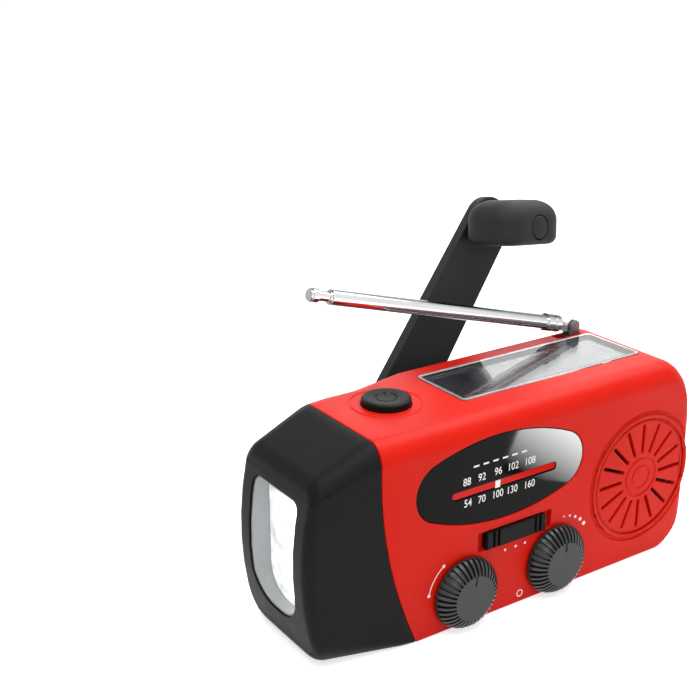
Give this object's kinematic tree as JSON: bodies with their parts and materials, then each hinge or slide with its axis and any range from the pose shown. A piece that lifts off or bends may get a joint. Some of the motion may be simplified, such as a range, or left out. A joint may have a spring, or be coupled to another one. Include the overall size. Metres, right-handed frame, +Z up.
{
  "type": "hand-crank emergency radio",
  "caption": "Palm-size emergency radio with a tapered flashlight head, solar top, tuning dial, round speaker grille, telescopic antenna and folding hand crank.",
  "frame": {"origin": "middle of the flat bottom of the case", "axes": "+X to the speaker end, +Y to the back with the crank, +Z up to the solar window"},
  "size_m": [0.1316, 0.0707, 0.0983],
  "materials": {
    "red_shell": "satin moulded",
    "black_shell": "fine texture",
    "black_gloss": "gloss",
    "grey_plastic": "satin",
    "clear_plastic": "clear",
    "reflector_silver": "metallised",
    "led": "clear dome",
    "board_green": "coated laminate",
    "solar_cell": "laminated cells",
    "dial_black": "printed",
    "pointer_white": "satin",
    "nylon": "natural",
    "steel": "plain",
    "brass": "turned",
    "chrome": "polished",
    "rubber_black": "matte",
    "cone_paper": "paper",
    "ferrite": "sintered",
    "copper": "enamelled wire",
    "battery_wrap": "shrink film"
  },
  "bodies": {
    "case": {"front_case": "red_shell", "rear_cover": "black_shell", "case_screws": "steel", "flashlight_head": "black_shell", "lens_bezel": "grey_plastic", "lens": "clear_plastic", "reflector": "reflector_silver", "led_board": "board_green", "leds": "led", "light_switch": "grey_plastic", "solar_cover": "clear_plastic", "solar_cells": "solar_cell", "charge_socket": "steel", "charge_board": "board_green", "dial_window": "clear_plastic", "dial_plate": "dial_black", "pointer_rail": "steel", "tuning_capacitor": "nylon", "volume_control": "grey_plastic", "band_switch": "steel", "speaker_frame": "steel", "speaker_cone": "cone_paper", "speaker_magnet": "ferrite", "main_board": "board_green", "battery": "battery_wrap", "ferrite_rod": "ferrite", "ferrite_coil": "copper", "generator": "steel", "gear_plate": "steel", "idler_axle": "steel", "hub_bush": "brass", "antenna_bracket": "steel", "antenna_pin": "steel"},
    "button": {"flashlight_button": "black_shell"},
    "port": {"port_cover": "rubber_black"},
    "pointer": {"dial_pointer": "pointer_white"},
    "tuning": {"tuning_knob": "black_shell", "tuning_shaft": "nylon"},
    "volume": {"volume_knob": "black_shell", "volume_shaft": "nylon"},
    "band": {"band_slider": "black_shell"},
    "hub": {"crank_hub": "black_shell", "hinge_pin": "steel", "drive_gear": "nylon"},
    "arm": {"crank_arm": "black_shell", "grip_pin": "steel"},
    "grip": {"grip": "black_shell"},
    "idler": {"idler_gear": "nylon"},
    "rotor": {"rotor_pinion": "brass"},
    "antenna": {"antenna_root": "chrome", "antenna_tube": "chrome"},
    "antenna_mid": {"antenna_middle": "chrome"},
    "antenna_end": {"antenna_inner": "chrome", "antenna_tip": "chrome"}
  },
  "joints": [
    {"name": "crank_spin", "type": "hinge", "parent": "case", "child": "hub", "pos_m": [-0.018, 0.0196, 0.029], "axis": [0, -1, 0], "continuous": true},
    {"name": "crank_fold", "type": "hinge", "parent": "hub", "child": "arm", "pos_m": [-0.018, 0.026, 0.029], "axis": [-0.723, 0, 0.6909], "range_deg": [-12, 168]},
    {"name": "grip_spin", "type": "hinge", "parent": "arm", "child": "grip", "pos_m": [0.03769, 0.04313, 0.08727], "axis": [0.1436, -0.9781, 0.1503], "continuous": true},
    {"name": "idler_spin", "type": "hinge", "parent": "case", "child": "idler", "pos_m": [-0.00326, 0.013, 0.03932], "axis": [0, -1, 0], "continuous": true},
    {"name": "rotor_spin", "type": "hinge", "parent": "case", "child": "rotor", "pos_m": [0.01175, 0.01, 0.03932], "axis": [0, -1, 0], "continuous": true},
    {"name": "antenna_pivot", "type": "hinge", "parent": "case", "child": "antenna", "pos_m": [0.0505, 0.0169, 0.0602], "axis": [0, 1, 0], "range_deg": [-2, 100]},
    {"name": "antenna_slide_outer", "type": "slide", "parent": "antenna", "child": "antenna_mid", "axis": [-0.9636, 0, 0.2672], "range_m": [0, 0.07]},
    {"name": "antenna_slide_inner", "type": "slide", "parent": "antenna_mid", "child": "antenna_end", "axis": [-0.9636, 0, 0.2672], "range_m": [0, 0.07]},
    {"name": "tuning_turn", "type": "hinge", "parent": "case", "child": "tuning", "pos_m": [-0.0184, -0.0196, 0.0103], "axis": [0, 1, 0], "range_deg": [-124, 172]},
    {"name": "pointer_slide", "type": "slide", "parent": "case", "child": "pointer", "axis": [1, 0, 0], "range_m": [-0.0131, 0.0181]},
    {"name": "volume_turn", "type": "hinge", "parent": "case", "child": "volume", "pos_m": [0.013, -0.0196, 0.0103], "axis": [0, 1, 0], "range_deg": [-150, 150]},
    {"name": "band_slide", "type": "slide", "parent": "case", "child": "band", "axis": [1, 0, 0], "range_m": [-0.0022, 0.0022]},
    {"name": "button_press", "type": "slide", "parent": "case", "child": "button", "axis": [0, 0, 1], "range_m": [-0.001, 0], "stiffness_N_per_m": 400, "springref_m": 0.0006},
    {"name": "port_open", "type": "hinge", "parent": "case", "child": "port", "pos_m": [0.06585, 0, 0.03675], "axis": [0, -1, 0], "range_deg": [0, 150]}
  ],
  "couplings": [
    {"joint": "idler_spin", "follows": "crank_spin", "ratio": -4},
    {"joint": "rotor_spin", "follows": "crank_spin", "ratio": 16},
    {"joint": "pointer_slide", "follows": "tuning_turn", "m_per_rad": 0.006}
  ]
}
